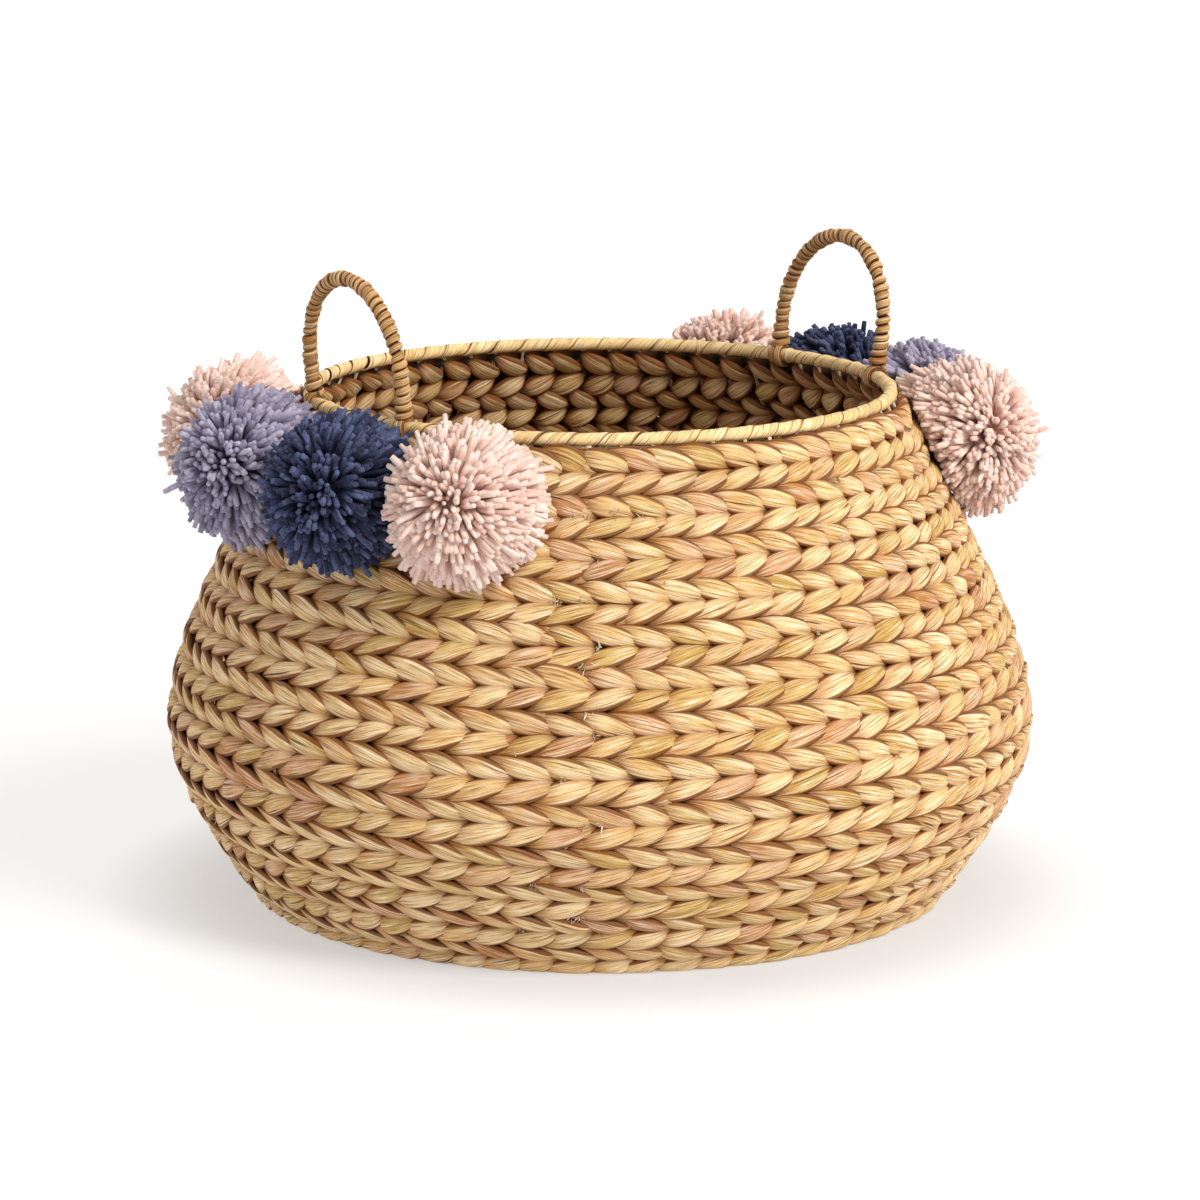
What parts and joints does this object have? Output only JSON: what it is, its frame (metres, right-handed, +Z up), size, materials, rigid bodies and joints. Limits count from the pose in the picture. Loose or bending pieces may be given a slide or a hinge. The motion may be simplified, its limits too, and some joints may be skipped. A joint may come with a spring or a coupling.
{
  "type": "storage basket",
  "caption": "Round-bellied woven storage basket with a wide mouth, a wrapped rim, fold-over cord handles and yarn pompoms hanging from the rim.",
  "frame": {"origin": "middle of the underside, on the floor", "axes": "+Z up; +X towards handle A, -X towards handle B; +Y to the left of handle A seen from outside"},
  "size_m": [0.4514, 0.4514, 0.3351],
  "materials": {
    "weave": "dry woven plant stalk, satin",
    "rim_strip": "wrapped plant strip, satin",
    "lashing": "thin split stalk, matte",
    "handle_cord": "twisted plant cord, matte",
    "steel_wire": "plain drawn wire",
    "yarn_pink": "soft matte yarn",
    "yarn_navy": "soft matte yarn",
    "yarn_lavender": "soft matte yarn"
  },
  "bodies": {
    "basket": {"base_centre": "weave", "base_ring_1": "weave", "base_ring_2": "weave", "base_ring_3": "weave", "base_ring_4": "weave", "base_ring_5": "weave", "base_ring_6": "weave", "base_ring_7": "weave", "course_01": "weave", "course_02": "weave", "course_03": "weave", "course_04": "weave", "course_05": "weave", "course_06": "weave", "course_07": "weave", "course_08": "weave", "course_09": "weave", "course_10": "weave", "course_11": "weave", "course_12": "weave", "course_13": "weave", "rim_wire": "steel_wire", "rim_wrap": "rim_strip", "rim_lashing_1": "lashing", "rim_lashing_2": "lashing", "rim_lashing_3": "lashing", "rim_lashing_4": "lashing", "rim_lashing_5": "lashing", "rim_lashing_6": "lashing", "rim_lashing_7": "lashing", "rim_lashing_8": "lashing"},
    "handle_a": {"handle_a_wire": "steel_wire", "handle_a_cord_wrap": "handle_cord", "handle_a_foot_binding_left": "handle_cord", "handle_a_foot_binding_right": "handle_cord"},
    "pompom_a_pink_left": {"pompom_a_pink_left_ball": "yarn_pink", "pompom_a_pink_left_tie": "yarn_pink"},
    "pompom_a_navy": {"pompom_a_navy_ball": "yarn_navy", "pompom_a_navy_tie": "yarn_navy"},
    "pompom_a_lavender": {"pompom_a_lavender_ball": "yarn_lavender", "pompom_a_lavender_tie": "yarn_lavender"},
    "pompom_a_pink_right": {"pompom_a_pink_right_ball": "yarn_pink", "pompom_a_pink_right_tie": "yarn_pink"},
    "handle_b": {"handle_b_wire": "steel_wire", "handle_b_cord_wrap": "handle_cord", "handle_b_foot_binding_left": "handle_cord", "handle_b_foot_binding_right": "handle_cord"},
    "pompom_b_pink_left": {"pompom_b_pink_left_ball": "yarn_pink", "pompom_b_pink_left_tie": "yarn_pink"},
    "pompom_b_navy": {"pompom_b_navy_ball": "yarn_navy", "pompom_b_navy_tie": "yarn_navy"},
    "pompom_b_lavender": {"pompom_b_lavender_ball": "yarn_lavender", "pompom_b_lavender_tie": "yarn_lavender"},
    "pompom_b_pink_right": {"pompom_b_pink_right_ball": "yarn_pink", "pompom_b_pink_right_tie": "yarn_pink"}
  },
  "joints": [
    {"name": "handle_a_fold", "type": "hinge", "parent": "basket", "child": "handle_a", "pos_m": [0.14352, 0, 0.2624], "axis": [0, -1, 0], "range_deg": [-8, 100]},
    {"name": "pompom_a_pink_left_swing", "type": "hinge", "parent": "basket", "child": "pompom_a_pink_left", "pos_m": [0.12135, 0.08817, 0.2624], "axis": [0.5878, -0.809, 0], "range_deg": [0, 30]},
    {"name": "pompom_a_navy_swing", "type": "hinge", "parent": "basket", "child": "pompom_a_navy", "pos_m": [0.14522, 0.03756, 0.2624], "axis": [0.2504, -0.9681, 0], "range_deg": [0, 30]},
    {"name": "pompom_a_lavender_swing", "type": "hinge", "parent": "basket", "child": "pompom_a_lavender", "pos_m": [0.14872, -0.01958, 0.2624], "axis": [-0.1305, -0.9914, 0], "range_deg": [0, 30]},
    {"name": "pompom_a_pink_right_swing", "type": "hinge", "parent": "basket", "child": "pompom_a_pink_right", "pos_m": [0.13055, -0.07386, 0.2624], "axis": [-0.4924, -0.8704, 0], "range_deg": [0, 30]},
    {"name": "handle_b_fold", "type": "hinge", "parent": "basket", "child": "handle_b", "pos_m": [-0.14352, 0, 0.2624], "axis": [0, 1, 0], "range_deg": [-8, 100]},
    {"name": "pompom_b_pink_left_swing", "type": "hinge", "parent": "basket", "child": "pompom_b_pink_left", "pos_m": [-0.11979, -0.09027, 0.2624], "axis": [-0.6018, 0.7986, 0], "range_deg": [0, 30]},
    {"name": "pompom_b_navy_swing", "type": "hinge", "parent": "basket", "child": "pompom_b_navy", "pos_m": [-0.14455, -0.04009, 0.2624], "axis": [-0.2672, 0.9636, 0], "range_deg": [0, 30]},
    {"name": "pompom_b_lavender_swing", "type": "hinge", "parent": "basket", "child": "pompom_b_lavender", "pos_m": [-0.14815, 0.02346, 0.2624], "axis": [0.1564, 0.9877, 0], "range_deg": [0, 30]},
    {"name": "pompom_b_pink_right_swing", "type": "hinge", "parent": "basket", "child": "pompom_b_pink_right", "pos_m": [-0.11979, 0.09027, 0.2624], "axis": [0.6018, 0.7986, 0], "range_deg": [0, 30]}
  ]
}
